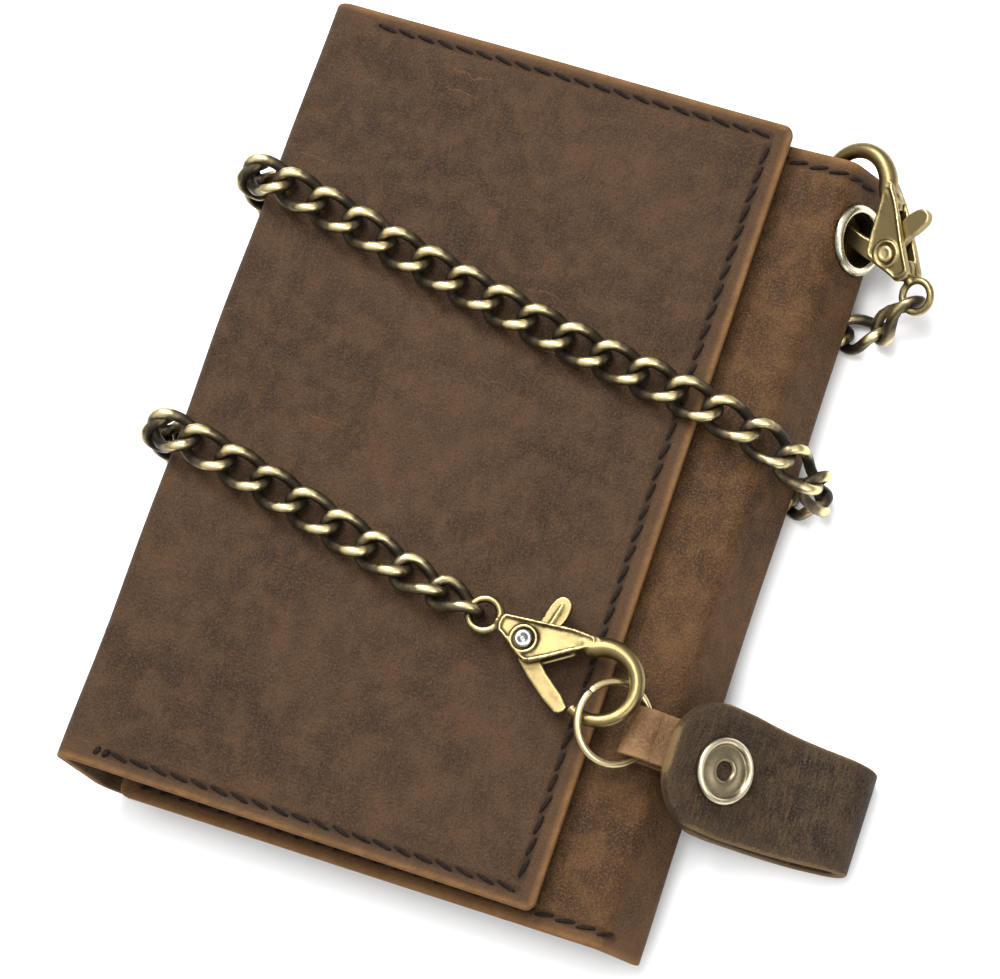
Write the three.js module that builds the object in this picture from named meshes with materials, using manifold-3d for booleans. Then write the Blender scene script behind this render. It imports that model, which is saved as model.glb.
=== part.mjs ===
// A trifold leather wallet wound twice with a curb chain that ends in two lobster clasps and a belt strap.
// Millimetres, +Z up. The closed wallet lies on its chain with the front flap on top, +Y along the folds
// and +X towards the right-hand fold.
import * as THREE from "three";
import { mergeVertices } from "three/addons/utils/BufferGeometryUtils.js";
import Module from "manifold-3d";

const wasm = await Module();
wasm.setup();

// Driving dimensions
const GAP = 0.3; // between any two touching pieces
const LEATHER = 1.8; // outer leather
const SKIVED = 1.4; // outer leather thinned where it folds
const LINING = 0.7; // linings and card pockets
const LAYER = LINING + GAP;
const HALF_LENGTH = 60; // half the wallet's length, along the folds
const SPINE_X = -43.8; // outer face of the spine
const BACK_Z = 3.7; // underside of the back panel, clear of the chain
const SPINE_TOP = 24.5; // outer corner between the spine and the front flap
const FLAP_WIDTH = 72.2;
const FLAP_SLOPE = THREE.MathUtils.degToRad(6.2); // the flap falls towards its free edge
const INNER_TOP = 13.6; // outer face of the inner panel
const FOLD_X = 36; // where the inner panel meets the right fold
const SHOULDER = new THREE.Vector2(37.6, INNER_TOP);
const TOE = new THREE.Vector2(42.9, 4.5);
const FOLD_TOP_Y = 58; // the right fold's upper edge
const CHAIN_R = 1.7; // half the chain's thickness
const EYELET_BORE_R = 3.7;
const EYELET_FLANGE_R = 5.25;
const EYELET_Y = 48;
const RING_R = 5.7;
const RING_WIRE_R = 0.55;
const STRAP_T = 2;
const STRAP_Y = -33.5;
const SNAP_R = 4.7;
const LAYER_SPACING = 5.2; // between the middles of the strap's two layers

const material = (color, roughness, metalness = 0) =>
  new THREE.MeshStandardMaterial({ color, roughness, metalness });
const leather = material(0x5a3a26, 0.6);
const lining = material(0x3a2a20, 0.75);
const strapLeather = material(0x3b2a20, 0.5);
const brass = material(0x9a7b3f, 0.38, 1);
const nickel = material(0xb9b4a6, 0.3, 1);

// Booleans
function solid(geometry) {
  const plain = geometry.clone();
  plain.deleteAttribute("normal");
  plain.deleteAttribute("uv");
  const merged = mergeVertices(plain, 1e-4);
  return new wasm.Manifold(
    new wasm.Mesh({
      numProp: 3,
      vertProperties: new Float32Array(merged.attributes.position.array),
      triVerts: new Uint32Array(merged.index.array),
    }),
  );
}

function geometryOf(manifold) {
  const { vertProperties, triVerts } = manifold.getMesh();
  const geometry = new THREE.BufferGeometry();
  geometry.setAttribute("position", new THREE.BufferAttribute(vertProperties, 3));
  geometry.setIndex(new THREE.BufferAttribute(triVerts, 1));
  geometry.computeVertexNormals();
  return geometry;
}

// Shapes
function named(name, geometry, finish) {
  const mesh = new THREE.Mesh(geometry, finish);
  mesh.name = name;
  return mesh;
}

function roundedSheet([x0, x1], [y0, y1], [z0, z1], radius) {
  const shape = new THREE.Shape();
  shape.moveTo(x0 + radius, y0);
  shape.lineTo(x1 - radius, y0);
  shape.absarc(x1 - radius, y0 + radius, radius, -Math.PI / 2, 0);
  shape.absarc(x1 - radius, y1 - radius, radius, 0, Math.PI / 2);
  shape.absarc(x0 + radius, y1 - radius, radius, Math.PI / 2, Math.PI);
  shape.absarc(x0 + radius, y0 + radius, radius, Math.PI, 1.5 * Math.PI);
  const sheet = new THREE.ExtrudeGeometry(shape, {
    depth: z1 - z0,
    bevelEnabled: false,
    curveSegments: 4,
  });
  return sheet.translate(0, 0, z0);
}

function slab([x0, x1], [y0, y1], [z0, z1], rows = 1) {
  const box = new THREE.BoxGeometry(x1 - x0, y1 - y0, z1 - z0, 1, rows, 1);
  return box.translate((x0 + x1) / 2, (y0 + y1) / 2, (z0 + z1) / 2);
}

// An outline in X and Z, extruded along Y
function section(outline, [y0, y1], segments = 12) {
  const shape = Array.isArray(outline) ? new THREE.Shape(outline) : outline;
  const prism = new THREE.ExtrudeGeometry(shape, {
    depth: y1 - y0,
    bevelEnabled: false,
    curveSegments: segments,
  });
  return prism.rotateX(Math.PI / 2).translate(0, y1, 0);
}

// The outline of a ribbon of even thickness along points in a plane
function ribbon(points, thickness) {
  const side = (sign) =>
    points.map((point, i) => {
      const before = points[Math.max(i - 1, 0)];
      const after = points[Math.min(i + 1, points.length - 1)];
      const along = after.clone().sub(before).normalize();
      const across = new THREE.Vector2(-along.y, along.x);
      return point.clone().addScaledVector(across, (sign * thickness) / 2);
    });
  return [...side(-1), ...side(1).reverse()];
}

function disc(radius, [z0, z1], centre = [0, 0], sides = 24) {
  const cylinder = new THREE.CylinderGeometry(radius, radius, z1 - z0, sides);
  return cylinder.rotateX(Math.PI / 2).translate(centre[0], centre[1], (z0 + z1) / 2);
}

function plate(points, [z0, z1]) {
  const outline = new THREE.Shape(points.map(([a, b]) => new THREE.Vector2(a, b)));
  const cut = new THREE.ExtrudeGeometry(outline, { depth: z1 - z0, bevelEnabled: false });
  return cut.translate(0, 0, z0);
}

function tube(curve, radius, sides, steps) {
  const round = Array.from({ length: sides }, (_, i) => {
    const turn = (2 * Math.PI * (i + 0.5)) / sides;
    return new THREE.Vector2(radius * Math.cos(turn), radius * Math.sin(turn));
  });
  return new THREE.ExtrudeGeometry(new THREE.Shape(round), {
    steps,
    bevelEnabled: false,
    extrudePath: curve,
  });
}

function chainTube(name, points, steps) {
  const curve = new THREE.CatmullRomCurve3(
    points.map((point) => new THREE.Vector3(...point)),
    false,
    "centripetal",
  );
  return named(name, tube(curve, CHAIN_R, 8, steps), brass);
}

// The back panel, its lining and pockets, which stay put
function backLayers() {
  const layerZ = (i) => {
    const z = BACK_Z + LEATHER + GAP + i * LAYER;
    return [z, z + LINING];
  };
  const panel = slab([SPINE_X + LEATHER + GAP, FOLD_X], [-61, 59], [BACK_Z, BACK_Z + LEATHER], 3);
  return [
    named("back_panel", panel, leather),
    named("centre_lining", slab([-40, 32], [-59, 57], layerZ(0)), lining),
    named("centre_pocket_1", slab([-34, 32], [-54, 52], layerZ(1)), lining),
    named("centre_pocket_2", slab([-26, 32], [-54, 52], layerZ(2)), lining),
  ];
}

// The right fold: a C of skived leather with a sloping shoulder, pierced by the eyelet
const slope = TOE.clone().sub(SHOULDER).normalize();
const shoulderNormal = new THREE.Vector3(-slope.y, 0, slope.x);
const shoulderMiddle = SHOULDER.clone().add(TOE).multiplyScalar(0.5);
const eyeletCentre = new THREE.Vector3(shoulderMiddle.x, EYELET_Y, shoulderMiddle.y);

function onShoulder(geometry) {
  const turn = new THREE.Quaternion().setFromUnitVectors(new THREE.Vector3(0, 1, 0), shoulderNormal);
  return geometry.applyQuaternion(turn).translate(...eyeletCentre);
}

function rightFold() {
  const start = FOLD_X + GAP;
  const lean = (TOE.x - SHOULDER.x) / (SHOULDER.y - TOE.y);
  const innerX = (z) => SHOULDER.x + (SHOULDER.y - z) * lean - SKIVED / shoulderNormal.x;
  const floor = BACK_Z + SKIVED;
  const ceiling = INNER_TOP - SKIVED;
  const outline = [
    [start, INNER_TOP],
    [start, ceiling],
    [innerX(ceiling), ceiling],
    [innerX(floor), floor],
    [start, floor],
    [start, BACK_Z],
    [TOE.x - 1.4, BACK_Z],
    [TOE.x - 0.3, BACK_Z + 0.25],
    [TOE.x, TOE.y],
    [SHOULDER.x, SHOULDER.y],
  ].map(([x, z]) => new THREE.Vector2(x, z));
  const fold = solid(section(outline, [-61.5, FOLD_TOP_Y]));
  const barrelHole = new THREE.CylinderGeometry(EYELET_BORE_R + 0.7, EYELET_BORE_R + 0.7, 5, 28);
  return geometryOf(fold.subtract(solid(onShoulder(barrelHole))));
}

function eyelet() {
  const outer = EYELET_BORE_R + 0.4;
  const profile = [
    [EYELET_BORE_R, -SKIVED - 0.1],
    [outer, -SKIVED - 0.1],
    [outer, GAP - 0.05],
    [EYELET_FLANGE_R, GAP - 0.05],
    [EYELET_FLANGE_R - 0.1, 0.6],
    [outer + 0.35, 0.95],
    [EYELET_BORE_R, 0.6],
    [EYELET_BORE_R, -SKIVED - 0.1],
  ].map(([r, h]) => new THREE.Vector2(r, h));
  return onShoulder(new THREE.LatheGeometry(profile, 40));
}

// The inner panel, folded over from the right
function innerLayers() {
  const layerZ = (i) => {
    const z = INNER_TOP - LEATHER - GAP - i * LAYER;
    return [z - LINING, z];
  };
  const panel = roundedSheet([-36.7, FOLD_X - GAP], [-61.9, 58.1], [INNER_TOP - LEATHER, INNER_TOP], 1.5);
  return [
    named("inner_panel", panel, leather),
    named("inner_lining", slab([-35, 31.5], [-60, 56], layerZ(0)), lining),
    named("inner_pocket_1", slab([-30, 31.5], [-55, 51], layerZ(1)), lining),
    named("inner_pocket_2", slab([-22, 31.5], [-55, 51], layerZ(2)), lining),
  ];
}

// The spine
function spineLayers() {
  const inside = SPINE_X + LEATHER;
  return [
    named("spine_strip", slab([SPINE_X, inside], [-60.5, 59.5], [BACK_Z, SPINE_TOP - 2.35]), leather),
    named("spine_lining", slab([inside + GAP, inside + GAP + LINING], [-58, 57], [6, 20.5]), lining),
  ];
}

// The front flap, in its own frame: origin at the spine's upper corner, X along the flap, Z out of it
function frontFlap() {
  const flap = new THREE.Group();
  flap.position.set(SPINE_X, 0, SPINE_TOP);
  flap.rotation.y = FLAP_SLOPE;
  const layerZ = (i) => {
    const z = -LEATHER - GAP - i * LAYER;
    return [z - LINING, z];
  };
  const across = [-HALF_LENGTH, HALF_LENGTH];
  flap.add(
    named("front_panel", roundedSheet([0, FLAP_WIDTH], across, [-LEATHER, 0], 1.5), leather),
    named("flap_lining", slab([3, 70], [-58, 58], layerZ(0)), lining),
    named("flap_pocket_1", slab([6, 60], [-54, 54], layerZ(1)), lining),
    named("flap_pocket_2", slab([6, 51], [-54, 54], layerZ(2)), lining),
    named("flap_pocket_3", slab([6, 42], [-54, 54], layerZ(3)), lining),
  );
  return flap;
}

// A lobster clasp in its own frame: origin at the middle of its eye, X along it, Y towards its lever
const PIVOT = [7.2, -1.36];
const CLASP_T = 4; // thickness of the cast body
const HOOK_CENTRE = [19.4, -2.9];
const HOOK_R = 5.2;
const HOOK_WIRE_R = 1;

function claspBody() {
  const cast = plate(
    [
      [2.2, 0.5],
      [3.75, 0.6],
      [16.7, 3.35],
      [17.2, 1.4],
      [15.86, 0.93],
      [9.64, -3.78],
      [7.92, -4.41],
      [3.9, -1.7],
      [2.2, -1.2],
    ],
    [-CLASP_T / 2, CLASP_T / 2],
  );
  const arc = new THREE.Curve();
  arc.getPoint = (t, target = new THREE.Vector3()) => {
    const turn = THREE.MathUtils.degToRad(122 - 237 * t);
    const x = HOOK_CENTRE[0] + HOOK_R * Math.cos(turn);
    return target.set(x, HOOK_CENTRE[1] + HOOK_R * Math.sin(turn), 0);
  };
  const slot = slab([4.6, 12.6], [-7, 7], [-1.2, 1.2]);
  const body = solid(cast)
    .add(solid(disc(2.7, [-0.8, 0.8])))
    .add(solid(tube(arc, HOOK_WIRE_R, 10, 22)))
    .subtract(solid(disc(1.9, [-3, 3])))
    .subtract(solid(slot))
    .subtract(solid(disc(1.1, [-3, 3], PIVOT)));
  return geometryOf(body);
}

function claspGate() {
  const thickness = [-0.9, 0.4];
  const lever = [
    [6.2, -0.6],
    [8.44, 2.04],
    [8.92, 4.91],
    [9.57, 5.71],
    [10.76, 4.88],
    [11.1, 2.65],
    [9, -1.5],
  ];
  const bar = [
    [5.9, -2.6],
    [8.2, -4.6],
    [14.9, -8.2],
    [16.2, -7.4],
    [10.05, -3.9],
    [8.9, -1],
  ];
  const gate = solid(disc(1.9, thickness, PIVOT))
    .add(solid(plate(lever, thickness)))
    .add(solid(plate(bar, thickness)))
    .subtract(solid(disc(1.1, [-3, 3], PIVOT)));
  return geometryOf(gate);
}

function claspRivet() {
  const head = CLASP_T / 2 + GAP;
  const profile = [
    [0, -head - 0.5],
    [1.5, -head - 0.3],
    [1.6, -head],
    [0.8, -head],
    [0.8, head],
    [1.6, head],
    [1.5, head + 0.3],
    [0, head + 0.5],
  ].map(([r, h]) => new THREE.Vector2(r, h));
  const rivet = new THREE.LatheGeometry(profile, 20).rotateX(Math.PI / 2);
  return rivet.translate(PIVOT[0], PIVOT[1], 0);
}

function claspSpring() {
  const profile = [
    [1.1, -0.12],
    [1.5, -0.12],
    [1.5, 0.12],
    [1.1, 0.12],
    [1.1, -0.12],
  ].map(([r, h]) => new THREE.Vector2(r, h));
  const coil = new THREE.LatheGeometry(profile, 20).rotateX(Math.PI / 2);
  return coil.translate(PIVOT[0], PIVOT[1], 0.82);
}

// along: from the eye to the hook; lever: the side that the lever is on
function clasp(number, eye, along, lever) {
  const group = new THREE.Group();
  const x = new THREE.Vector3(...along).normalize();
  const z = x.clone().cross(new THREE.Vector3(...lever)).normalize();
  const y = z.clone().cross(x);
  group.quaternion.setFromRotationMatrix(new THREE.Matrix4().makeBasis(x, y, z));
  group.position.set(...eye);
  group.add(
    named(`clasp_${number}_body`, claspBody(), brass),
    named(`clasp_${number}_gate`, claspGate(), brass),
    named(`clasp_${number}_rivet`, claspRivet(), brass),
    named(`clasp_${number}_spring`, claspSpring(), nickel),
  );
  return group;
}

// The belt ring slopes down towards the strap, whose tab goes round its low side
const RING_SLOPE = THREE.MathUtils.degToRad(40);
const RING_CENTRE = [31.25, -32, 20];
const RING_LOW = new THREE.Vector2(
  RING_CENTRE[0] + RING_R * Math.cos(RING_SLOPE),
  RING_CENTRE[2] - RING_R * Math.sin(RING_SLOPE),
);

function beltRing() {
  const ring = new THREE.TorusGeometry(RING_R, RING_WIRE_R, 8, 48);
  return ring.rotateY(RING_SLOPE).translate(...RING_CENTRE);
}

// The strap's middle line in X and Z: down a straight slope, flat on the table, then up round the bend
const STRAP_SLOPE_TOP = new THREE.Vector2(40.8, 14.4);
const STRAP_SLOPE_END = new THREE.Vector2(48.6, 6.6);
const STRAP_FLAT_END = 61.5;
const BEND_R = 3.5;
const LOWER_MID = STRAP_T / 2;
const UPPER_MID = LOWER_MID + 2 * BEND_R;
const strapNormal = new THREE.Vector2(Math.SQRT1_2, Math.SQRT1_2);
const snapLow = new THREE.Vector2(42.9, 12.3);
const snapHigh = snapLow.clone().addScaledVector(strapNormal, LAYER_SPACING);

const point = (x, z) => new THREE.Vector2(x, z);

function strapOutline(shape, fromX, halfNear, halfFar) {
  shape.lineTo(66.5, -halfFar);
  shape.lineTo(66.5, halfFar);
  shape.lineTo(fromX, halfNear);
}

function beltStrap() {
  const start = new THREE.SplineCurve([point(36.4, 16), point(38.5, 15.9), STRAP_SLOPE_TOP]);
  const foot = new THREE.SplineCurve([
    STRAP_SLOPE_END,
    point(51.6, 3.8),
    point(54.8, 1.7),
    point(57.5, LOWER_MID),
  ]);
  const quarter = Math.PI / 2;
  const bendZ = LOWER_MID + BEND_R;
  const bend = new THREE.EllipseCurve(STRAP_FLAT_END, bendZ, BEND_R, BEND_R, -quarter, quarter);
  const middle = [
    ...start.getPoints(5),
    ...foot.getPoints(8),
    point(58, LOWER_MID),
    point(61, LOWER_MID),
    ...bend.getPoints(10),
  ];
  const across = [STRAP_Y - 9, STRAP_Y + 9];
  const plan = new THREE.Shape();
  plan.moveTo(34, -3.5);
  plan.lineTo(38, -3.5);
  plan.quadraticCurveTo(40.5, -9, 44.5, -9);
  strapOutline(plan, 44.5, 9, 7.5);
  plan.quadraticCurveTo(40.5, 9, 38, 3.5);
  plan.lineTo(34, 3.5);
  const cut = new THREE.ExtrudeGeometry(plan, { depth: 40, bevelEnabled: false, curveSegments: 8 });
  cut.translate(0, STRAP_Y, -5);
  // a tab of thinner leather goes round the ring: an oval loop that leans towards the ring's middle
  const lean = point(-Math.cos(RING_SLOPE), Math.sin(RING_SLOPE));
  const oval = (radius) => {
    const a = RING_LOW.clone().addScaledVector(lean, -0.15);
    const b = RING_LOW.clone().addScaledVector(lean, 1.2);
    const turn = Math.atan2(lean.y, lean.x);
    const path = new THREE.Shape();
    path.absarc(b.x, b.y, radius, turn - Math.PI / 2, turn + Math.PI / 2);
    path.absarc(a.x, a.y, radius, turn + Math.PI / 2, turn + 1.5 * Math.PI);
    return path;
  };
  const tabWidth = [STRAP_Y - 2, STRAP_Y + 5];
  const loop = section(oval(2.15), tabWidth, 8);
  const eye = section(oval(1.1), [STRAP_Y - 10, STRAP_Y + 10], 8);
  const strap = solid(section(ribbon(middle, STRAP_T), across))
    .intersect(solid(cut))
    .add(solid(loop))
    .subtract(solid(eye));
  return geometryOf(strap.subtract(solid(onSnap(snapLow, disc(1.5, [-3, 3])))));
}

function strapTop() {
  const near = snapHigh.clone().add(point(-6.2, 6.2));
  const slopeEnd = snapHigh.clone().add(point(4, -4));
  const end = point(STRAP_FLAT_END - GAP - 0.1, UPPER_MID);
  const foot = new THREE.SplineCurve([slopeEnd, point(54, 9.6), point(57.5, 8.4), end]);
  const plan = new THREE.Shape();
  plan.absellipse(snapHigh.x, 0, 6.9, 9, 0.5 * Math.PI, 1.5 * Math.PI);
  strapOutline(plan, snapHigh.x, 9, 7.5);
  const cut = new THREE.ExtrudeGeometry(plan, { depth: 40, bevelEnabled: false, curveSegments: 14 });
  cut.translate(0, STRAP_Y, -5);
  const layer = solid(section(ribbon([near, ...foot.getPoints(8)], STRAP_T), [STRAP_Y - 9, STRAP_Y + 9]));
  const hole = onSnap(snapHigh, disc(1.5, [-3, 3]));
  return geometryOf(layer.intersect(solid(cut)).subtract(solid(hole)));
}

// Puts a turned part on the strap's slope, its Z along the snap's axis
function onSnap(centre, geometry) {
  return geometry.rotateY(Math.PI / 4).translate(centre.x, STRAP_Y, centre.y);
}

function turned(profile, sides) {
  const points = profile.map(([r, h]) => new THREE.Vector2(r, h));
  return new THREE.LatheGeometry(points, sides).rotateX(Math.PI / 2);
}

function snapCap() {
  const seat = STRAP_T / 2 + GAP;
  const cap = turned(
    [
      [0, -STRAP_T / 2],
      [1.2, -STRAP_T / 2],
      [1.2, seat],
      [SNAP_R, seat],
      [SNAP_R, seat + 0.4],
      [SNAP_R - 0.9, seat + 1],
      [SNAP_R - 2.4, seat + 1.35],
      [0, seat + 1.5],
    ],
    28,
  );
  return onSnap(snapHigh, cap);
}

function snapSocket() {
  const top = -STRAP_T / 2 - GAP;
  const socket = turned(
    [
      [0, top - 0.5],
      [2.3, top - 0.5],
      [2.3, top - 1.6],
      [4, top - 1.6],
      [4, top],
      [0, top],
    ],
    28,
  );
  return onSnap(snapHigh, socket);
}

function snapStud() {
  const seat = STRAP_T / 2 + GAP;
  const stud = turned(
    [
      [0, -STRAP_T / 2],
      [1.2, -STRAP_T / 2],
      [1.2, seat],
      [4, seat],
      [4, seat + 0.6],
      [1.7, seat + 0.6],
      [1.7, seat + 1.6],
      [0, seat + 1.7],
    ],
    28,
  );
  return onSnap(snapLow, stud);
}

// The chain, drawn as plain tubes along its run: clasp 1, under the wallet, up the spine, across the front,
// over the right fold, under the wallet again, up the spine and across the front to clasp 2
function chain() {
  return [
    chainTube(
      "chain_edge_1",
      [[50.6, 39.4, 8.3], [48.2, 38, 4.9], [45.4, 36.8, 2.5], [42.8, 36.1, 1.8], [41.5, 35.8, 1.75]],
      8,
    ),
    chainTube("chain_back_1", [[40.9, 35.6, 1.75], [0, 33.3, 1.75], [-41.2, 31, 1.75]], 8),
    chainTube(
      "chain_spine_1",
      [
        [-41.8, 31, 1.75],
        [-43.9, 31, 1.75],
        [-45.7, 30.9, 2.5],
        [-46.4, 30.7, 4.6],
        [-46.4, 30.5, 14],
        [-46.4, 30.3, 23.9],
        [-45.7, 30.2, 26],
        [-44.7, 30.15, 26.75],
        [-43.9, 30.1, 26.8],
      ],
      13,
    ),
    chainTube(
      "chain_front_1",
      [[-43.3, 30, 26.7], [-18.7, 24.4, 23.9], [6.1, 19.1, 21.2], [26.5, 15.9, 19], [29.7, 15.3, 18.4]],
      10,
    ),
    chainTube(
      "chain_edge_2",
      [
        [30.2, 15.2, 18.3],
        [34, 14.5, 17.2],
        [38.4, 13.5, 16],
        [42.6, 12, 13.1],
        [45.8, 10.9, 9],
        [46.6, 10.3, 5.4],
        [45.3, 10.05, 2.5],
        [44, 10, 1.85],
        [42.8, 9.98, 1.75],
      ],
      13,
    ),
    chainTube("chain_back_2", [[42, 9.8, 1.75], [0, 0, 1.75], [-41.2, -9.6, 1.75]], 8),
    chainTube(
      "chain_spine_2",
      [
        [-41.8, -9.8, 1.75],
        [-43.9, -9.9, 1.75],
        [-45.7, -10, 2.5],
        [-46.4, -10.1, 4.6],
        [-46.4, -10.2, 14],
        [-46.4, -10.4, 23.9],
        [-45.7, -10.5, 26],
        [-44.7, -10.6, 26.75],
        [-43.9, -10.65, 26.8],
      ],
      13,
    ),
    chainTube(
      "chain_front_2",
      [[-43.3, -10.8, 26.7], [-29.7, -13.6, 25.1], [-7, -19.4, 22.65], [5.6, -22.3, 21.3]],
      9,
    ),
  ];
}

const wallet = new THREE.Group();
wallet.add(
  ...backLayers(),
  named("right_fold", rightFold(), leather),
  named("eyelet", eyelet(), nickel),
  ...innerLayers(),
  ...spineLayers(),
  frontFlap(),
  clasp(1, [51.6, 41.2, 11.4], [-0.578, 0.815, 0.041], [0.7295, 0.4933, 0.4731]),
  clasp(2, [8.97, -22.81, 21.5], [0.9952, -0.0977, 0], [0.0977, 0.9952, 0]),
  named("belt_ring", beltRing(), brass),
  named("belt_strap", beltStrap(), strapLeather),
  named("strap_top", strapTop(), strapLeather),
  named("snap_cap", snapCap(), nickel),
  named("snap_socket", snapSocket(), nickel),
  named("snap_stud", snapStud(), nickel),
);

// The origin is under the middle of everything but the chain
wallet.updateMatrixWorld(true);
const middle = new THREE.Box3().setFromObject(wallet, true).getCenter(new THREE.Vector3());
wallet.add(...chain());
wallet.position.set(-middle.x, -middle.y, 0);

export default wallet;
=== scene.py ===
# A trifold leather wallet, wound twice with a curb chain that ends in two lobster clasps and a belt
# strap. Shapes are worked in millimetres from the wallet's own middle and made in metres.
import math

import bmesh
import bpy
import numpy as np
from mathutils import Matrix, Vector


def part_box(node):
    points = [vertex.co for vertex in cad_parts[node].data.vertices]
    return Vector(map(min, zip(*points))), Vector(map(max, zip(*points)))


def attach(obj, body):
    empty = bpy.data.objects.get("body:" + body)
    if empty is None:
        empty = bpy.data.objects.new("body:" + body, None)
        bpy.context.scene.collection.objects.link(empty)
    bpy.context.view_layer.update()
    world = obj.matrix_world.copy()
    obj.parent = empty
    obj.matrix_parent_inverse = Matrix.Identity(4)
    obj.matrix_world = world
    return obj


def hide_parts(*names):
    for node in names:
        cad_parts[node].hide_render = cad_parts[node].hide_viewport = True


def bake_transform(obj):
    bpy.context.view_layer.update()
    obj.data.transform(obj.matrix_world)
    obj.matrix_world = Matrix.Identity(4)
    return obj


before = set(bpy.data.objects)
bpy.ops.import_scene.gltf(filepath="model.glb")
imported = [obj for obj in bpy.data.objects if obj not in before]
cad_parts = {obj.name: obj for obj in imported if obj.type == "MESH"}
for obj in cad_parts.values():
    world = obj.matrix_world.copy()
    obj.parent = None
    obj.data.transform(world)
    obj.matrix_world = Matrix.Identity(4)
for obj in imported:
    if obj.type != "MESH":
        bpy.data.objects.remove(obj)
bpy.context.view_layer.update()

MM = 0.001
SPINE_X = -43.8  # outer face of the spine
BACK_Z = 3.7  # underside of the back panel
FLAP_SLOPE = math.radians(6.2)
FLAP_WIDTH = 72.2
HALF_LENGTH = 60.0
COVER_T = 1.7
FOLD_T = 1.5
HOLE_R = 4.5  # in the leather behind the eyelet
STRAP_Y = -33.5
STRAP_T = 2.0

spine_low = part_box("spine_strip")[0]
SHIFT = np.array([spine_low.x / MM - SPINE_X, spine_low.y / MM + 60.5, 0.0])
rng = np.random.default_rng(7)


def metres(points):
    return (np.asarray(points, float) + SHIFT) * MM


def spot(x, y, z):
    return Vector(metres([x, y, z]))


# ---- Meshes ----


def new_piece(name, points, faces, finish, marks=None, crease=50):
    """A smooth-shaded piece from points in millimetres; marks are values or vectors kept at its points."""
    mesh = bpy.data.meshes.new(name)
    mesh.from_pydata(metres(points).tolist(), [], [list(map(int, face)) for face in faces])
    tidy = bmesh.new()
    tidy.from_mesh(mesh)
    bmesh.ops.recalc_face_normals(tidy, faces=tidy.faces)
    tidy.to_mesh(mesh)
    tidy.free()
    for mark, values in (marks or {}).items():
        values = np.asarray(values, np.float32)
        if values.ndim == 1:
            mesh.attributes.new(mark, "FLOAT", "POINT").data.foreach_set("value", values)
        else:
            mesh.attributes.new(mark, "FLOAT_VECTOR", "POINT").data.foreach_set("vector", values.ravel())
    mesh.shade_smooth()
    mesh.set_sharp_from_angle(angle=math.radians(crease))
    mesh.materials.append(finish)
    piece = bpy.data.objects.new(name, mesh)
    bpy.context.collection.objects.link(piece)
    return piece


def together(shapes):
    """Several (points, faces) as one."""
    points, faces, first = [], [], 0
    for some, around in shapes:
        points.append(np.asarray(some, float))
        faces += [[first + i for i in face] for face in around]
        first += len(some)
    return np.vstack(points), faces


def unit(vector):
    vector = np.asarray(vector, float)
    return vector / np.linalg.norm(vector)


def through(points, per_span=12):
    """A smooth line through the points."""
    p = np.array(points, float)
    p = np.vstack([2 * p[0] - p[1], p, 2 * p[-1] - p[-2]])
    t = np.concatenate([[0], np.cumsum(np.linalg.norm(np.diff(p, axis=0), axis=1) ** 0.5)])
    line = []
    for i in range(1, len(p) - 2):
        for u in np.linspace(t[i], t[i + 1], per_span, endpoint=False):
            a = [
                ((t[k + 1] - u) * p[k] + (u - t[k]) * p[k + 1]) / (t[k + 1] - t[k])
                for k in (i - 1, i, i + 1)
            ]
            b = [
                ((t[k + 2] - u) * a[k - i + 1] + (u - t[k]) * a[k - i + 2]) / (t[k + 2] - t[k])
                for k in (i - 1, i)
            ]
            line.append(((t[i + 1] - u) * b[0] + (u - t[i]) * b[1]) / (t[i + 1] - t[i]))
    return np.array(line + [p[-2]])


def sweep(line, radii, sides=10, closed=False):
    """A round bar along a line."""
    line = np.asarray(line, float)
    n = len(line)
    radii = np.broadcast_to(radii, n)
    ahead = np.roll(line, -1, 0) - np.roll(line, 1, 0)
    if not closed:
        ahead[0], ahead[-1] = line[1] - line[0], line[-1] - line[-2]
    ahead /= np.linalg.norm(ahead, axis=1)[:, None]
    side = unit(np.cross(ahead[0], [0.3, 0.2, 0.9] if abs(ahead[0][2]) < 0.9 else [1, 0, 0]))
    first = side
    sides_along = []
    for i in range(n):
        side = unit(side - ahead[i] * (side @ ahead[i]))
        sides_along.append(side)
    back = unit(side - ahead[0] * (side @ ahead[0]))
    drift = math.atan2(np.cross(back, first) @ ahead[0], back @ first) if closed else 0.0
    points = []
    turns = 2 * np.pi * np.arange(sides) / sides
    for i, side in enumerate(sides_along):
        other = np.cross(ahead[i], side)
        angle = turns + drift * i / n
        points.append(line[i] + radii[i] * (np.outer(np.cos(angle), side) + np.outer(np.sin(angle), other)))
    faces = []
    for i in range(n if closed else n - 1):
        j = (i + 1) % n
        for k in range(sides):
            m = (k + 1) % sides
            faces.append([i * sides + k, j * sides + k, j * sides + m, i * sides + m])
    if not closed:
        faces.append(list(range(sides))[::-1])
        faces.append([(n - 1) * sides + k for k in range(sides)])
    return np.vstack(points), faces


def softened(profile, rounds=2, closed=False):
    """The outline with its corners cut round."""
    line = np.asarray(profile, float)
    for _ in range(rounds):
        after = np.roll(line, -1, 0)
        quarter, rest = 0.75 * line + 0.25 * after, 0.25 * line + 0.75 * after
        cut = np.stack([quarter, rest], 1).reshape(-1, line.shape[1])
        line = cut if closed else np.vstack([line[:1], cut[:-2], line[-1:]])
    return line


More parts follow.
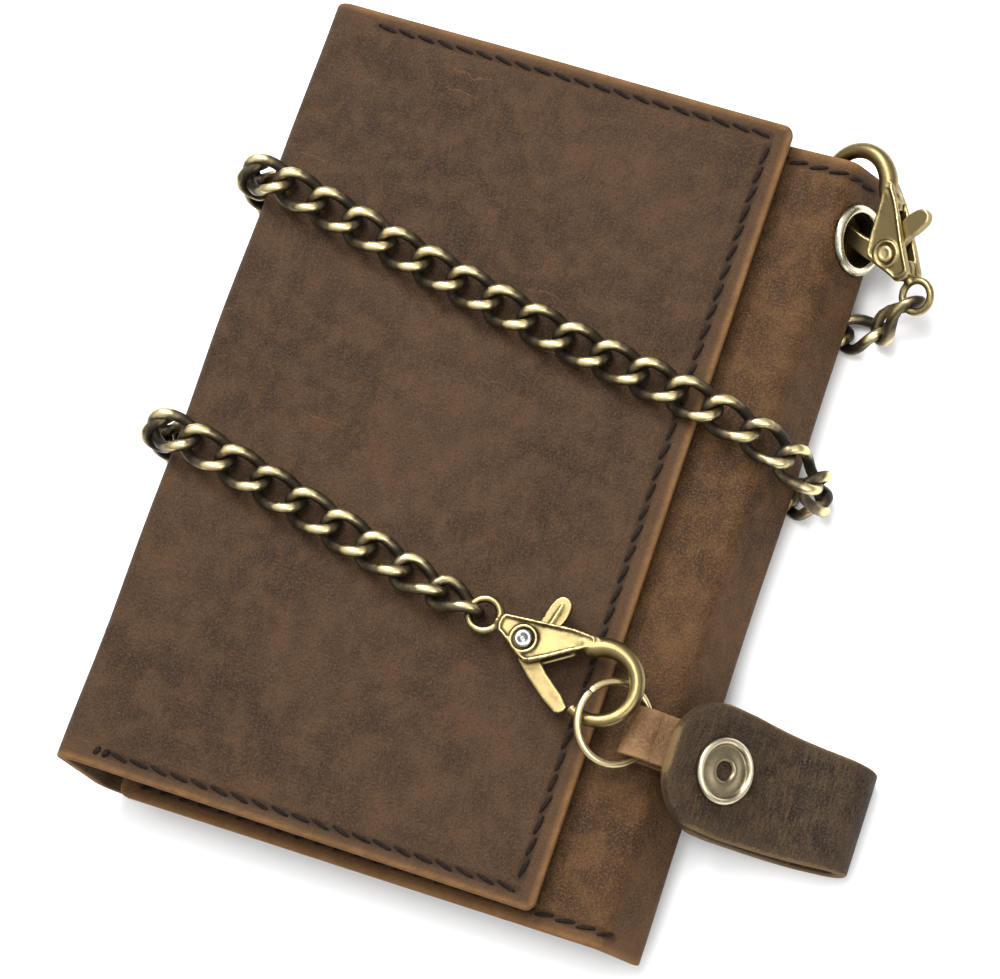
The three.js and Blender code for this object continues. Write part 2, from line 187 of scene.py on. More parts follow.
def lathe(profile, sides=56, rounds=2, closed=False):
    """A turned piece about Z from (radius, height) points."""
    outline = softened(profile, rounds, closed)
    turns = 2 * np.pi * np.arange(sides) / sides
    points = [[r * math.cos(a), r * math.sin(a), h] for r, h in outline for a in turns]
    faces = []
    n = len(outline)
    for i in range(n if closed else n - 1):
        j = (i + 1) % n
        for k in range(sides):
            m = (k + 1) % sides
            faces.append([i * sides + k, i * sides + m, j * sides + m, j * sides + k])
    if not closed:
        faces.append(list(range(sides))[::-1])
        faces.append([(n - 1) * sides + k for k in range(sides)])
    return np.array(points), faces


def prism(outline, low, high):
    """A plate between two heights; low and high may be one number or one for each point."""
    outline = np.asarray(outline, float)
    n = len(outline)
    under = np.column_stack([outline, np.broadcast_to(low, n)])
    over = np.column_stack([outline, np.broadcast_to(high, n)])
    faces = [list(range(n))[::-1], list(range(n, 2 * n))]
    faces += [[i, (i + 1) % n, n + (i + 1) % n, n + i] for i in range(n)]
    return np.vstack([under, over]), faces


def cast(shapes, grain=0.15, rounds=3):
    """Fuses overlapping shapes as one smooth casting, with how worn each point is from its roundness."""
    points, faces = together(shapes)
    mesh = bpy.data.meshes.new("casting")
    mesh.from_pydata(points.tolist(), [], faces)
    block = bpy.data.objects.new("casting", mesh)
    bpy.context.collection.objects.link(block)
    fuse = block.modifiers.new("fuse", "REMESH")
    fuse.mode = "VOXEL"
    fuse.voxel_size = grain
    soften = block.modifiers.new("soften", "SMOOTH")
    soften.iterations = rounds
    graph = bpy.context.evaluated_depsgraph_get()
    fused = bpy.data.meshes.new_from_object(block.evaluated_get(graph))
    soften.iterations = rounds + 14
    graph = bpy.context.evaluated_depsgraph_get()
    blurred = bpy.data.meshes.new_from_object(block.evaluated_get(graph))

    def places(mesh):
        return np.array([v.co for v in mesh.vertices], float)

    normals = np.array([v.normal for v in fused.vertices], float)
    proud = np.einsum("ij,ij->i", places(fused) - places(blurred), normals)
    worn = np.clip(0.5 + proud / 0.16, 0, 1)
    made = places(fused), [list(face.vertices) for face in fused.polygons], worn
    bpy.data.objects.remove(block)
    return made


def rounded(points, radii, step=0.25):
    """A line of straight runs with round corners."""
    points = np.asarray(points, float)
    line = [points[0]]
    for before, corner, after, radius in zip(points, points[1:], points[2:], radii):
        into, out = unit(corner - before), unit(after - corner)
        turn = math.acos(float(np.clip(into @ out, -1, 1)))
        reach = radius * math.tan(turn / 2)
        middle = corner - into * reach
        side = unit(out - into * (out @ into))
        count = max(4, int(radius * turn / step))
        for a in np.linspace(0, turn, count + 1):
            line.append(middle + radius * (into * math.sin(a) + side * (1 - math.cos(a))))
    line.append(points[-1])
    return np.array(line)


# ---- Leather and lining sheets ----


class Hide:
    """A sheet that follows a line in X and Z. s runs along the line, y across it, lift out of its face."""

    def __init__(self, line, face=1, middles=((0, 0),), ripple=0.0, halves=None):
        self.line = np.asarray(line, float)
        steps = np.linalg.norm(np.diff(self.line, axis=0), axis=1)
        self.s = np.concatenate([[0], np.cumsum(steps)])
        self.length = self.s[-1]
        self.face = face
        self.middles = np.asarray(middles, float)
        self.ripple = ripple
        self.halves = halves

    def at(self, s, y, lift=0.0):
        s, y = np.broadcast_arrays(np.asarray(s, float), np.asarray(y, float))
        shift = 0.15
        x, z = (np.interp(s, self.s, self.line[:, k]) for k in (0, 1))
        ahead = [
            np.interp(s + shift, self.s, self.line[:, k]) - np.interp(s - shift, self.s, self.line[:, k])
            for k in (0, 1)
        ]
        long = np.hypot(*ahead)
        out = np.stack([-ahead[1] / long, 0 * s, ahead[0] / long], -1) * self.face
        middle = np.interp(s / self.length, self.middles[:, 0], self.middles[:, 1])
        wide = y if self.halves is None else y * np.interp(s, *self.halves)
        wave = np.sin(0.11 * s + 0.4 * np.sin(0.07 * y)) * np.sin(0.083 * y + 0.5) + 0.5 * np.sin(0.19 * y)
        rise = lift + self.ripple * wave
        place = np.stack([x, wide + middle, z], -1)
        return place + out * np.expand_dims(rise, -1)


def graded(low, high, bands=(), fine=0.45, coarse=1.4, margin=5.0):
    """Places from low to high, close together near both ends and inside the bands."""
    dense = np.linspace(low, high, 3000)
    near = np.minimum(dense - low, high - dense) < margin
    for a, b in bands:
        near |= (dense > a) & (dense < b)
    count = np.cumsum(np.where(near, 1 / fine, 1 / coarse)) * (high - low) / 3000
    return np.interp(np.linspace(count[0], count[-1], int(count[-1]) + 2), count, dense)


def to_line(s, y, seams):
    """How far places are from the nearest of the lines."""
    best = np.full(s.shape, 9.0)
    here = np.stack([s, y], -1)
    for seam in seams:
        for a, b in zip(np.asarray(seam, float), np.asarray(seam, float)[1:]):
            along = np.clip(((here - a) @ (b - a)) / ((b - a) @ (b - a)), 0, 1)
            best = np.minimum(best, np.linalg.norm(here - a - along[..., None] * (b - a), axis=-1))
    return best


def cut_sheet(
    name, hide, span, half, thickness, finish, raw="slh", corner=1.5, seams=(), bands=(), across=()
):
    """Cuts a sheet from a hide; raw names its rounded, raw edges: s start, e end, l low and h high."""
    low, high = span
    s_line = graded(low, high, bands)
    y_line = graded(-half, half, across)
    rim = min(0.4, thickness * 0.24)

    def zone(c, a, b, raw_a, raw_b):
        base = np.clip(c, a + corner if raw_a else a, b - corner if raw_b else b)
        return base, np.clip((c - base) / corner, -1, 1)

    def mapped(s, y, inset):
        base_s, u = zone(s, low, high, "s" in raw, "e" in raw)
        base_y, v = zone(y, -half, half, "l" in raw, "h" in raw)
        reach = corner - inset
        return base_s + u * np.sqrt(1 - v * v / 2) * reach, base_y + v * np.sqrt(1 - u * u / 2) * reach

    grid_s, grid_y = np.meshgrid(s_line, y_line, indexing="ij")
    n, m = grid_s.shape
    index = np.arange(n * m).reshape(n, m)
    loop = np.concatenate([index[:, 0], index[-1, 1:], index[-2::-1, -1], index[0, -2:0:-1]])
    profile = [(0.44, 0.14), (0.1, 0.48), (0.0, 1.0)]
    rings = [(a * rim, b * rim) for a, b in profile]
    rings += [(a * rim, thickness - b * rim) for a, b in profile[::-1]]
    layers = [(grid_s.ravel(), grid_y.ravel(), rim, 0.0)]
    layers += [(grid_s.ravel()[loop], grid_y.ravel()[loop], inset, depth) for inset, depth in rings]
    layers += [(grid_s.ravel(), grid_y.ravel(), rim, thickness)]
    points, flat, border, seam_gap = [], [], [], []
    for s, y, inset, depth in layers:
        s, y = mapped(s, y, inset)
        gap = to_line(s, y, seams) if seams else np.full(s.shape, 9.0)
        sunk = 0.16 * np.exp(-((gap / 0.5) ** 2)) if depth == 0 else 0
        points.append(hide.at(s, y, -depth - sunk))
        flat.append(np.stack([s, y, np.full(s.shape, depth)], -1))
        sides = [(s - low, "s"), (high - s, "e"), (y + half, "l"), (half - y, "h")]
        border.append(np.min([d for d, side in sides if side in raw] or [9 + 0 * s], axis=0))
        seam_gap.append(gap)
    faces = []
    quads = np.stack([index[:-1, :-1], index[1:, :-1], index[1:, 1:], index[:-1, 1:]], -1).reshape(-1, 4)
    faces += quads.tolist()
    count = len(loop)
    before = loop
    first = n * m
    for _ in rings:
        after = first + np.arange(count)
        faces += np.stack([before, np.roll(before, -1), np.roll(after, -1), after], -1).tolist()
        before, first = after, first + count
    after = loop + first
    faces += np.stack([before, np.roll(before, -1), np.roll(after, -1), after], -1).tolist()
    faces += (quads[:, ::-1] + first).tolist()
    marks = {
        "flat": np.vstack(flat),
        "border": np.concatenate(border),
        "seam": np.concatenate(seam_gap),
    }
    return new_piece(name, np.vstack(points), faces, finish, marks)


def stitches(name, hide, seams, finish, pitch=3.1, slant=-14, radius=0.27):
    """Slanted stitches of waxed thread along the seams, each diving into the leather at both ends."""
    shapes = []
    for seam in seams:
        seam = np.asarray(seam, float)
        gaps = np.linalg.norm(np.diff(seam, axis=0), axis=1)
        total = gaps.sum()
        count = max(2, round(total / pitch))
        run = np.concatenate([[0], np.cumsum(gaps)])
        for i in range(count):
            middle = (i + 0.5) * total / count
            s, y = (np.interp(middle, run, seam[:, k]) for k in (0, 1))
            after, before = (
                np.array([np.interp(middle + step, run, seam[:, k]) for k in (0, 1)])
                for step in (0.4, -0.4)
            )
            ahead = after - before
            turn = math.atan2(ahead[1], ahead[0]) + math.radians(slant + rng.normal(0, 3))
            t = np.linspace(-1, 1, 9)
            half = 0.5 * pitch * (1 + rng.normal(0, 0.03))
            lift = 0.02 - 0.40 * t**4 + rng.normal(0, 0.02)
            line = hide.at(s + t * half * math.cos(turn), y + t * half * math.sin(turn), lift)
            shapes.append(sweep(line, radius * np.sqrt(1 - 0.55 * t**2), 8))
    points, faces = together(shapes)
    return new_piece(name, points, faces, finish)


# ---- Finishes ----


class Amount:
    """A socket of a finish that can be used in sums; each sum adds a Math node."""

    def __init__(self, finish, socket):
        self.finish = finish
        self.socket = socket

    def sum(self, operation, a, b=0.0):
        return self.finish.node("ShaderNodeMath", {"operation": operation}, {0: a, 1: b})

    def __add__(self, other):
        return self.sum("ADD", self, other)

    def __sub__(self, other):
        return self.sum("SUBTRACT", self, other)

    def __rsub__(self, other):
        return self.sum("SUBTRACT", other, self)

    def __mul__(self, other):
        return self.sum("MULTIPLY", self, other)

    def __abs__(self):
        return self.sum("ABSOLUTE", self)

    __radd__ = __add__
    __rmul__ = __mul__


class Finish:
    """A material made of nodes."""

    def __init__(self, name):
        self.material = bpy.data.materials.new(name)
        self.material.use_nodes = True
        self.tree = self.material.node_tree
        self.tree.nodes.clear()

    @classmethod
    def of(cls, tree):
        """The same way of adding nodes, for a tree that is there already."""
        made = cls.__new__(cls)
        made.tree = tree
        return made

    def node(self, kind, settings=None, inputs=None, output=0):
        """Adds any node: its settings first, then the values or links of its sockets."""
        made = self.tree.nodes.new(kind)
        for setting, value in (settings or {}).items():
            setattr(made, setting, value)
        for socket, value in (inputs or {}).items():
            if isinstance(value, Amount):
                self.tree.links.new(value.socket, made.inputs[socket])
            else:
                made.inputs[socket].default_value = value
        return Amount(self, made.outputs[output]) if made.outputs else None

    def mark(self, name, output=2):
        return self.node("ShaderNodeAttribute", {"attribute_name": name}, output=output)

    def stretched(self, place, scale):
        return self.node("ShaderNodeVectorMath", {"operation": "MULTIPLY"}, {0: place, 1: scale})

    def noise(self, place, scale, detail=3.0, roughness=0.55, distortion=0.0):
        sockets = {"Vector": place, "Scale": scale, "Detail": detail}
        sockets |= {"Roughness": roughness, "Distortion": distortion}
        return self.node("ShaderNodeTexNoise", None, sockets)

    def cells(self, place, scale):
        settings = {"feature": "SMOOTH_F1"}
        return self.node("ShaderNodeTexVoronoi", settings, {"Vector": place, "Scale": scale})

    def between(self, value, low, high):
        """0 at low and 1 at high, smoothly."""
        settings = {"interpolation_type": "SMOOTHSTEP"}
        sockets = {"Value": value, "From Min": low, "From Max": high}
        return self.node("ShaderNodeMapRange", settings, sockets)

    def mix(self, share, a, b):
        a, b = (c if isinstance(c, Amount) else (*c, 1.0) for c in (a, b))
        settings = {"data_type": "RGBA", "clamp_factor": True}
        return self.node("ShaderNodeMix", settings, {0: share, 6: a, 7: b}, output=2)

    def bump(self, height, distance, under=None):
        """Raises the surface by height times distance, in millimetres."""
        sockets = {"Height": height, "Distance": distance * MM, "Strength": 1.0}
        if under is not None:
            sockets["Normal"] = under
        return self.node("ShaderNodeBump", None, sockets)

    def surface(self, **sockets):
        """Ends the finish in a shader with these sockets."""
        named = {name.replace("_", " "): value for name, value in sockets.items()}
        for name, value in named.items():
            if name in ("Base Color", "Sheen Tint", "Coat Tint") and not isinstance(value, Amount):
                named[name] = (*value, 1.0)
        shader = self.node("ShaderNodeBsdfPrincipled", None, named)
        self.node("ShaderNodeOutputMaterial", None, {"Surface": shader})
        return self.material


def oiled_leather(name, dark, mid, warm, edge, suede, creased=1.0, across=0.0, rub=1.3):
    """Waxed pull-up leather: clouded browns, fine pores, soft creases, rubbed borders and raw tan edges."""
    f = Finish(name)
    place = f.mark("flat", 1)
    border, seam = f.mark("border"), f.mark("seam")
    depth = f.node("ShaderNodeSeparateXYZ", None, {0: place}, output=2)
    cloud = f.between(f.noise(place, 0.035, 4, 0.6, 0.4), 0.36, 0.66)
    mottle = f.between(f.noise(place, 0.22, 5, 0.65, 0.3), 0.38, 0.68)
    speck = f.noise(place, 3.2, 3, 0.7)
    colour = f.mix(cloud, dark, mid)
    colour = f.mix(mottle * 0.55, colour, warm)
    colour = f.mix(f.between(speck, 0.47, 0.66) * 0.85, colour, warm)
    colour = f.mix(f.between(speck, 0.5, 0.32) * 0.7, colour, dark)
    drift = f.node("ShaderNodeTexNoise", None, {"Vector": place, "Scale": 0.3, "Detail": 3.0}, output=1)
    drift = f.stretched(drift, (4, 4, 0))
    bent = f.node("ShaderNodeVectorMath", {"operation": "ADD"}, {0: place, 1: drift})
    wander = f.noise(f.stretched(bent, (0.9, 0.6, 1.0)), 0.24, 4, 0.6)
    crease = 1 - f.between(abs(wander - 0.5), 0.0, 0.018)
    where = f.between(f.noise(place, 0.045, 2, 0.5, 0.2), 0.5, 0.68) * creased
    crease = crease * where
    colour = f.mix(crease * 0.4, colour, warm)
    streak = f.noise(f.stretched(place, (2.2, 0.3, 1.0) if across else (1.2, 0.3, 1.0)), 1.1, 4, 0.6, 0.5)
    colour = f.mix(f.between(streak, 0.48, 0.7) * (0.25 + 0.45 * across), colour, warm)
    scratch = f.between(f.noise(f.stretched(bent, (0.05, 1.3, 1.0)), 0.9, 2, 0.4), 0.7, 0.76)
    colour = f.mix(scratch * 0.22, colour, edge)
    rubbed = (1 - f.between(border + (speck - 0.5) * 1.6, 0.1 * rub, rub)) * (0.6 + mottle * 0.4)
    halo = (1 - f.between(border + (mottle - 0.5) * 2.0, 0.5 * rub, 3.2 * rub)) * 0.4
    colour = f.mix(halo, colour, warm)
    colour = f.mix(rubbed * 0.85, colour, edge)
    # Painted shade of the stitch holes and groove along each seam, darker than any tone of the leather.
    painted_hole_shade = 1 - f.between(seam, 0.2, 1.0)
    colour = f.mix(painted_hole_shade * 0.5, colour, [0.35 * c for c in dark])
    flesh = f.between(depth, 1.1, 1.5)
    fibres = f.noise(f.stretched(place, (2.0, 2.0, 6.0)), 2.2, 5, 0.75)
    raw = f.mix(fibres, [0.62 * c for c in edge], [1.25 * c for c in edge])
    cutting = f.between(depth, 0.12, 0.3) * (1 - f.between(border, 0.05, 0.3))
    colour = f.mix(flesh * (1 - cutting), colour, f.mix(fibres, [0.7 * c for c in suede], suede))
    colour = f.mix(cutting, colour, raw)
    pores = f.cells(place, 1.9)
    grain = f.bump(pores * 0.7 + speck, 0.14)
    grain = f.bump((1 - crease) * 0.25 + f.noise(place, 0.7, 4, 0.65) + streak * across, 0.2, grain)
    grain = f.bump(fibres * (cutting + flesh) * 0.8, 0.12, grain)
    rough = 0.5 + f.noise(place, 0.5, 4) * 0.26 + cutting * 0.2 + flesh * 0.25 - rubbed * 0.08
    return f.surface(
        Base_Color=colour,
        Roughness=rough,
        Normal=grain,
        Specular_IOR_Level=0.14,
    )


def lining_leather(name, dark, light, edge):
    """Thin split leather for card pockets: matt, fine grained, with darker burnished rims."""
    f = Finish(name)
    place = f.mark("flat", 1)
    border, seam = f.mark("border"), f.mark("seam")
    cloud = f.between(f.noise(place, 0.06, 4, 0.6), 0.35, 0.7)
    speck = f.noise(place, 2.6, 4, 0.7)
    colour = f.mix(cloud * 0.8 + speck * 0.25, dark, light)
    colour = f.mix((1 - f.between(border, 0.2, 1.2)) * 0.7, colour, edge)
    # Painted shade of the stitch holes and groove along each row of stitches.
    colour = f.mix((1 - f.between(seam, 0.2, 0.9)) * 0.5, colour, [0.4 * c for c in dark])
    grain = f.bump(f.cells(place, 1.6) * 0.7 + speck * 0.6, 0.06)
    rough = 0.62 + speck * 0.2
    return f.surface(Base_Color=colour, Roughness=rough, Normal=grain, Specular_IOR_Level=0.35)


def aged_metal(name, dark, body, bright, low=0.35, high=0.65, rough=0.3, pits=0.03):
    """Plated metal with a dark patina in its hollows and a bare, bright face where it rubs; on the belt
    ring the brighter upper side is a painted highlight.
    """
    f = Finish(name)
    place = f.node("ShaderNodeTexCoord", output=3)
    worn = f.mark("worn")
    blotch = f.noise(place, 260, 4, 0.65)
    fine = f.noise(place, 1900, 3, 0.7)
    rub_and_highlight = worn + (blotch - 0.5) * 0.5 + (fine - 0.5) * 0.3
    colour = f.mix(f.between(rub_and_highlight, low - 0.3, low + 0.12), dark, body)
    colour = f.mix(f.between(rub_and_highlight, high - 0.1, high + 0.25), colour, bright)
    brushed = rough + 0.3 * (1 - f.between(rub_and_highlight, low - 0.3, low + 0.2)) + fine * 0.12
    skin = f.bump(fine * 0.5 + blotch, pits)
    return f.surface(Base_Color=colour, Roughness=brushed, Normal=skin, Metallic=1.0)


def waxed_thread(name, dark, light):
    f = Finish(name)
    place = f.node("ShaderNodeTexCoord", output=3)
    strands = f.noise(place, 2600, 3, 0.6)
    colour = f.mix(f.between(strands, 0.35, 0.75), dark, light)
    rough = 0.65 + strands * 0.2
    twist = f.bump(strands, 0.05)
    return f.surface(Base_Color=colour, Roughness=rough, Normal=twist, Specular_IOR_Level=0.1)


def plain_floor(name, shade):
    f = Finish(name)
    place = f.node("ShaderNodeTexCoord", output=3)
    colour = f.mix(f.noise(place, 2.0, 2), [0.99 * c for c in shade], shade)
    return f.surface(Base_Color=colour, Roughness=0.9, Specular_IOR_Level=0.1)


wallet_leather = oiled_leather(
    "wallet_leather",
    dark=(0.0165, 0.0080, 0.0032),
    mid=(0.0345, 0.0176, 0.0078),
    warm=(0.0680, 0.0345, 0.0145),
    edge=(0.1700, 0.0840, 0.0290),
    suede=(0.0700, 0.0400, 0.0200),
)
fold_leather = oiled_leather(
    "fold_leather",
    dark=(0.0215, 0.0098, 0.0032),
    mid=(0.0500, 0.0240, 0.0085),
    warm=(0.1000, 0.0490, 0.0175),
    edge=(0.1700, 0.0840, 0.0290),
    suede=(0.0700, 0.0400, 0.0200),
    creased=1.6,
)
strap_leather = oiled_leather(
    "strap_leather",
    dark=(0.0080, 0.0047, 0.0028),
    mid=(0.0160, 0.0098, 0.0056),
    warm=(0.0620, 0.0380, 0.0190),
    edge=(0.1600, 0.1000, 0.0440),
    suede=(0.0700, 0.0430, 0.0220),
    creased=0.4,
    across=1.0,
    rub=0.5,
)
suede_tab = oiled_leather(
    "suede_tab",
    dark=(0.070, 0.036, 0.016),
    mid=(0.100, 0.053, 0.025),
    warm=(0.190, 0.105, 0.048),
    edge=(0.200, 0.112, 0.050),
    suede=(0.120, 0.068, 0.032),
    creased=0.5,
)
pocket_leather = lining_leather(
    "pocket_leather", (0.020, 0.012, 0.0075), (0.042, 0.026, 0.0155), (0.080, 0.046, 0.023)
)
chain_brass = aged_metal(
    "chain_brass", (0.040, 0.032, 0.022), (0.170, 0.135, 0.078), (0.660, 0.540, 0.280), 0.45, 0.72, 0.25
)
clasp_brass = aged_metal(
    "clasp_brass", (0.040, 0.030, 0.015), (0.200, 0.152, 0.066), (0.520, 0.420, 0.210), 0.42, 0.68, 0.28
)
ring_brass = aged_metal(
    "ring_brass", (0.100, 0.075, 0.035), (0.430, 0.330, 0.150), (0.720, 0.600, 0.330), 0.2, 0.6, 0.24
)
bright_nickel = aged_metal(
    "bright_nickel",
    (0.050, 0.042, 0.028),
    (0.230, 0.200, 0.130),
    (0.560, 0.520, 0.400),
    0.45,
    0.7,
    0.2,
    0.012,
)
snap_brass = aged_metal(
    "snap_brass",
    (0.035, 0.028, 0.018),
    (0.250, 0.205, 0.125),
    (0.600, 0.530, 0.370),
    0.35,
    0.62,
    0.24,
    0.012,
)
rivet_steel = aged_metal(
    "rivet_steel",
    (0.040, 0.038, 0.036),
    (0.160, 0.158, 0.155),
    (0.520, 0.520, 0.525),
    0.35,
    0.6,
    0.2,
    0.012,
)
dark_thread = waxed_thread("dark_thread", (0.006, 0.004, 0.003), (0.022, 0.013, 0.009))


# ---- Camera ----


def make_camera():
    """Looks down on the wallet from the front right, turned a little."""
    camera = bpy.data.objects.new("camera", bpy.data.cameras.new("camera"))
    bpy.context.collection.objects.link(camera)
    axes = Matrix(
        (
            (0.92387, -0.26068, 0.28020),
            (0.32199, 0.92517, -0.20095),
            (-0.20685, 0.27588, 0.93867),
        )
    )
    camera.matrix_world = Matrix.Translation(spot(125.97, -91.62, 426.38)) @ axes.to_4x4()
    camera.data.lens = 109.4
    camera.data.sensor_width = 36
    camera.data.clip_start = 0.01
    bpy.context.scene.camera = camera
    bpy.context.scene.view_settings.view_transform = "Standard"


make_camera()


# ---- Chain ----

WIRE_R = 0.82
LINK_REACH = 3.85  # from a link's middle to the middle of its end wire
LINK_HALF = 2.35  # from a link's middle to the middle of its side wire
LINK_TWIST = math.radians(42)
LINK_PITCH = 6.0
CLASP_1 = ([51.6, 41.2, 11.4], [-0.578, 0.815, 0.041], [0.7295, 0.4933, 0.4731])
CLASP_2 = ([8.97, -22.81, 21.5], [0.9952, -0.0977, 0.0], [0.0977, 0.9952, 0.0])

# Each run is one part of the chain; its corners are where two links meet
FIRST_BACK = [
    [50.6, 39.4, 8.3],
    [48.2, 38, 4.9],
    [45.4, 36.8, 2.5],
    [42.8, 36.1, 1.8],
    [40.9, 35.6, 1.75],
    [0, 33.3, 1.75],
    [-41.2, 31, 1.75],
    [-43.9, 31, 1.75],
    [-45.7, 30.9, 2.5],
    [-46.4, 30.7, 4.6],
    [-46.4, 30.5, 14],
]
FIRST_FRONT = [
    [-46.4, 30.5, 14],
    [-46.4, 30.3, 23.9],
    [-45.7, 30.2, 26],
    [-43.9, 30.1, 26.8],
    [-18.7, 24.4, 23.9],
    [6.1, 19.1, 21.2],
    [26.5, 15.9, 19],
    [30, 15.25, 18.35],
]
SECOND_BACK = [
    [30, 15.25, 18.35],
    [34, 14.5, 17.2],
    [38.4, 13.5, 16],
    [42.6, 12, 13.1],
    [45.8, 10.9, 9],
    [46.6, 10.3, 5.4],
    [45.3, 10.05, 2.5],
    [42.8, 9.98, 1.75],
    [0, 0, 1.75],
    [-41.2, -9.6, 1.75],
    [-43.9, -9.9, 1.75],
    [-45.7, -10, 2.5],
    [-46.4, -10.1, 4.6],
    [-46.4, -10.2, 14],
]
SECOND_FRONT = [
    [-46.4, -10.2, 14],
    [-46.4, -10.4, 23.9],
    [-45.7, -10.5, 26],
    [-43.9, -10.65, 26.8],
    [-29.7, -13.6, 25.1],
    [-7, -19.4, 22.65],
    [5.6, -22.3, 21.3],
    [7.3, -22.6, 21.45],
]


def link_shape():
    """One curb link: an oval of round wire, twisted so that its two ends lean opposite ways."""
    straight = LINK_REACH - LINK_HALF
    turn = np.linspace(-math.pi / 2, math.pi / 2, 9)
    right = np.stack([straight + LINK_HALF * np.cos(turn), LINK_HALF * np.sin(turn)], 1)
    middle = np.linspace(straight, -straight, 5)[1:-1]
    top = np.stack([middle, np.full(3, LINK_HALF)], 1)
    oval = np.vstack([right, top, -right, -top])
    lean = -LINK_TWIST * np.sin(0.5 * math.pi * oval[:, 0] / LINK_REACH)
    line = np.column_stack([oval[:, 0], oval[:, 1] * np.cos(lean), oval[:, 1] * np.sin(lean)])
    return sweep(line, WIRE_R, 12, closed=True)


LINK = link_shape()


def link_worn(points):
    """Bright where the wire stands highest on either face and where the end rubs, dark in between."""
    height = np.abs(points[:, 2]) / 1.7
    side = np.abs(points[:, 1]) / (LINK_HALF + WIRE_R)
    return np.clip(0.05 + 0.85 * height**1.6 + 0.25 * side**4, 0, 1)


def make_chain(name, route, corners=(), first_roll=0.0, last_roll=0.0):
    """Lays links end to end along the route, with a meeting of two links at each corner."""
    line = through(route)
    run = np.concatenate([[0], np.cumsum(np.linalg.norm(np.diff(line, axis=0), axis=1))])
    stops = [0.0, *(run[np.argmin(np.linalg.norm(line - corner, axis=1))] for corner in corners), run[-1]]
    meets = [0.0]
    for a, b in zip(stops, stops[1:]):
        count = max(1, round((b - a) / LINK_PITCH))
        meets += list(np.linspace(a, b, count + 1)[1:])
    places = np.stack([np.interp(meets, run, line[:, k]) for k in range(3)], 1)
    shapes, worn = [], []
    total = len(places) - 1
    for i in range(total):
        a, b = places[i], places[i + 1]
        ahead = unit(b - a)
        across = unit(np.array([0, 1, 0]) - ahead * ahead[1])
        out = np.cross(ahead, across)
        roll = math.radians(rng.normal(0, 2.5))
        roll += first_roll * max(0, 1 - i / 3) + last_roll * max(0, 1 - (total - 1 - i) / 3)
        wide = across * math.cos(roll) + out * math.sin(roll)
        high = np.cross(ahead, wide)
        long = (np.linalg.norm(b - a) / 2 + WIRE_R) / LINK_REACH
        basis = np.array([ahead * long, wide, high])
        shapes.append((LINK[0] @ basis + (a + b) / 2, LINK[1]))
        worn.append(link_worn(LINK[0]) + rng.normal(0, 0.04))
    points, faces = together(shapes)
    piece = new_piece(name, points, faces, chain_brass, {"worn": np.concatenate(worn)})
    return piece, line, run[-1]


def roll_to_eye(clasp, ahead, lean):
    """How far the link in a clasp's eye turns so that its end wire crosses the eye squarely."""
    along, lever = (unit(v) for v in clasp[1:])
    square = np.cross(along, lever)
    across = unit(np.array([0, 1, 0]) - ahead * ahead[1])
    out = np.cross(ahead, across)
    turn = math.atan2(square @ out, square @ across) - lean
    return (turn + math.pi / 2) % math.pi - math.pi / 2


def declare_chain(piece, line, length):
    length * MM


def chains():
    ahead_1 = unit(np.subtract(FIRST_BACK[1], FIRST_BACK[0]))
    ahead_2 = unit(np.subtract(SECOND_FRONT[-1], SECOND_FRONT[-3]))
    low_1, high_1 = [-45.9, 30.9, 2.7], [-45.8, 30.2, 25.9]
    low_2, high_2 = [-45.9, -10, 2.7], [-45.8, -10.5, 25.9]
    start = [np.add(CLASP_1[0], 1.7 * unit(np.subtract(FIRST_BACK[0], CLASP_1[0]))).tolist()]
    first_roll = roll_to_eye(CLASP_1, ahead_1, LINK_TWIST)
    last_roll = roll_to_eye(CLASP_2, ahead_2, -LINK_TWIST)
    made = [
        make_chain("chain_first_back", start + FIRST_BACK[1:], [[46.6, 37.2, 3.2], low_1], first_roll),
        make_chain("chain_first_front", FIRST_FRONT, [high_1]),
        make_chain("chain_second_back", SECOND_BACK, [[46.3, 10.2, 3.8], low_2]),
        make_chain("chain_second_front", SECOND_FRONT, [high_2], 0.0, last_roll),
    ]
    (first_back, _, _), (first_front, _, _), (second_back, _, _), (second_front, _, _) = made
    for piece, y in ((first_back, 31), (second_back, -10)):
        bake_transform(piece)
    for piece, y in ((first_front, 30), (second_front, -10.5)):
        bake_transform(piece)
    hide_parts("chain_edge_1", "chain_back_1")
    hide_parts("chain_spine_1", "chain_front_1")
    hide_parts("chain_edge_2", "chain_back_2")
    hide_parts("chain_spine_2", "chain_front_2")
    for one in made:
        declare_chain(*one)


chains()


# ---- Outer leather ----

EYELET = np.array([40.25, 48.0, 9.05])
EYELET_AXIS = unit([0.864, 0, 0.503])
EYELET_LEAN = math.atan2(EYELET_AXIS[0], EYELET_AXIS[2])
FLAP_END = (SPINE_X + FLAP_WIDTH * math.cos(FLAP_SLOPE), 24.5 - FLAP_WIDTH * math.sin(FLAP_SLOPE))
SEAM_IN = 2.3  # from a raw edge to its stitches


def cover_back():
    """The back panel and the lower half of the spine, in one with the corner between them."""
    line = rounded([[38, BACK_Z], [SPINE_X, BACK_Z], [SPINE_X, 14]], [2.5])
    hide = Hide(line, 1, [(0, -1.0), (0.85, -1.0), (1, -0.5)], ripple=0.08)
    corner = (38 - SPINE_X - 3, 38 - SPINE_X + 2)
    piece = cut_sheet(
        "back_cover", hide, (0, hide.length), HALF_LENGTH, COVER_T, wallet_leather, "lh", bands=[corner]
    )
    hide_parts("back_panel")
    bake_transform(piece)


